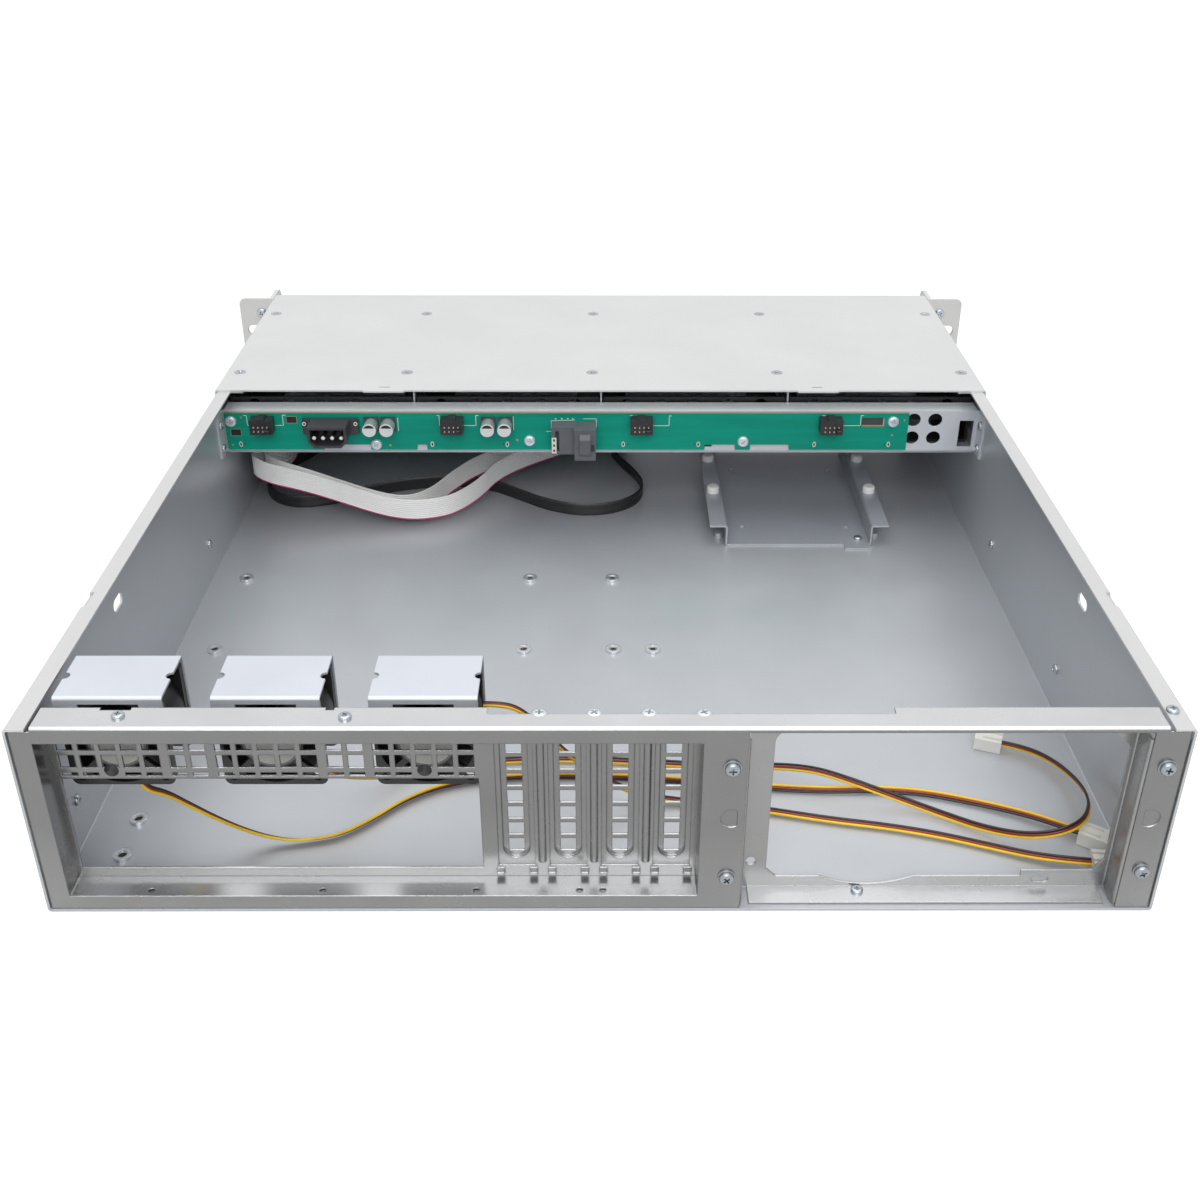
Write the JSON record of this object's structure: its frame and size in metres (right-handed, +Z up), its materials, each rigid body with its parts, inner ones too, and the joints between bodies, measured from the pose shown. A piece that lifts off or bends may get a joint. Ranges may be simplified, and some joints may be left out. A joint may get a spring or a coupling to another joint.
{
  "type": "rackmount server case",
  "caption": "Empty rackmount server case with its rear lid off: folded steel tray, card slots, power supply opening, hooded fans, backplane and front drive bays with slide-out trays.",
  "frame": {"origin": "on the underside, under the middle of the case's overall width and depth, handles included", "axes": "+X to the right seen from the rear, +Y from the rear panel towards the front bezel, +Z up"},
  "size_m": [0.4826, 0.508, 0.089],
  "materials": {
    "galvanised": "satin zinc coating",
    "cover": "matte zinc coating",
    "handle": "satin",
    "fan": "moulded",
    "front": "fine grain",
    "board": "solder mask",
    "connector": "moulded",
    "capacitor": "bright",
    "standoff": "turned",
    "post": "moulded",
    "plug": "moulded",
    "wire": "smooth insulation",
    "ribbon": "smooth insulation",
    "data_cable": "smooth insulation"
  },
  "bodies": {
    "case": {"chassis_tray": "galvanised", "rear_frame": "galvanised", "rear_io_panel": "galvanised", "psu_bracket": "galvanised", "slot_cover_1": "galvanised", "slot_cover_2": "galvanised", "slot_cover_3": "galvanised", "slot_cover_4": "galvanised", "fan_hood_1": "galvanised", "fan_hood_2": "galvanised", "fan_hood_3": "galvanised", "fan_frame_1": "fan", "fan_frame_2": "fan", "fan_frame_3": "fan", "grille_plugs": "connector", "front_top_cover": "cover", "drive_cage": "galvanised", "bay_divider_1": "galvanised", "bay_divider_2": "galvanised", "bay_divider_3": "galvanised", "backplane_bracket": "galvanised", "backplane_board": "board", "pin_headers": "connector", "power_socket": "connector", "capacitors": "capacitor", "drive_sockets": "connector", "sas_socket": "connector", "sas_plug": "connector", "front_bezel": "front", "front_board": "board", "rack_ear_left": "cover", "rack_ear_right": "cover", "handle_left": "handle", "handle_right": "handle", "floor_standoffs": "standoff", "drive_bracket": "galvanised", "bracket_posts": "post", "fan_cable_1": "wire", "fan_cable_2": "wire", "fan_cable_3": "wire", "fan_plug_1": "plug", "fan_plug_2": "plug", "fan_plug_3": "plug", "ribbon_cable_1": "ribbon", "ribbon_cable_2": "ribbon", "data_cable": "data_cable"},
    "rotor_1": {"fan_rotor_1": "fan"},
    "rotor_2": {"fan_rotor_2": "fan"},
    "rotor_3": {"fan_rotor_3": "fan"},
    "tray_1": {"drive_tray_1": "front"},
    "tray_2": {"drive_tray_2": "front"},
    "tray_3": {"drive_tray_3": "front"},
    "tray_4": {"drive_tray_4": "front"},
    "lever_1": {"tray_lever_1": "front"},
    "lever_2": {"tray_lever_2": "front"},
    "lever_3": {"tray_lever_3": "front"},
    "lever_4": {"tray_lever_4": "front"},
    "button": {"power_button": "front"}
  },
  "joints": [
    {"name": "fan_spin_1", "type": "hinge", "parent": "case", "child": "rotor_1", "pos_m": [-0.1856, -0.2185, 0.066], "axis": [0, 1, 0], "continuous": true},
    {"name": "fan_spin_2", "type": "hinge", "parent": "case", "child": "rotor_2", "pos_m": [-0.1263, -0.2185, 0.066], "axis": [0, 1, 0], "continuous": true},
    {"name": "fan_spin_3", "type": "hinge", "parent": "case", "child": "rotor_3", "pos_m": [-0.067, -0.2185, 0.066], "axis": [0, 1, 0], "continuous": true},
    {"name": "tray_slide_1", "type": "slide", "parent": "case", "child": "tray_1", "axis": [0, 1, 0], "range_m": [0, 0.12]},
    {"name": "tray_slide_2", "type": "slide", "parent": "case", "child": "tray_2", "axis": [0, 1, 0], "range_m": [0, 0.12]},
    {"name": "tray_slide_3", "type": "slide", "parent": "case", "child": "tray_3", "axis": [0, 1, 0], "range_m": [0, 0.12]},
    {"name": "tray_slide_4", "type": "slide", "parent": "case", "child": "tray_4", "axis": [0, 1, 0], "range_m": [0, 0.12]},
    {"name": "lever_turn_1", "type": "hinge", "parent": "tray_1", "child": "lever_1", "pos_m": [-0.20465, 0.2306, 0.061], "axis": [0, 0, 1], "range_deg": [0, 75]},
    {"name": "lever_turn_2", "type": "hinge", "parent": "tray_2", "child": "lever_2", "pos_m": [-0.09715, 0.2306, 0.061], "axis": [0, 0, 1], "range_deg": [0, 75]},
    {"name": "lever_turn_3", "type": "hinge", "parent": "tray_3", "child": "lever_3", "pos_m": [0.01035, 0.2306, 0.061], "axis": [0, 0, 1], "range_deg": [0, 75]},
    {"name": "lever_turn_4", "type": "hinge", "parent": "tray_4", "child": "lever_4", "pos_m": [0.11785, 0.2306, 0.061], "axis": [0, 0, 1], "range_deg": [0, 75]},
    {"name": "button_press", "type": "slide", "parent": "case", "child": "button", "axis": [0, -1, 0], "range_m": [0, 0.0015], "stiffness_N_per_m": 500}
  ]
}
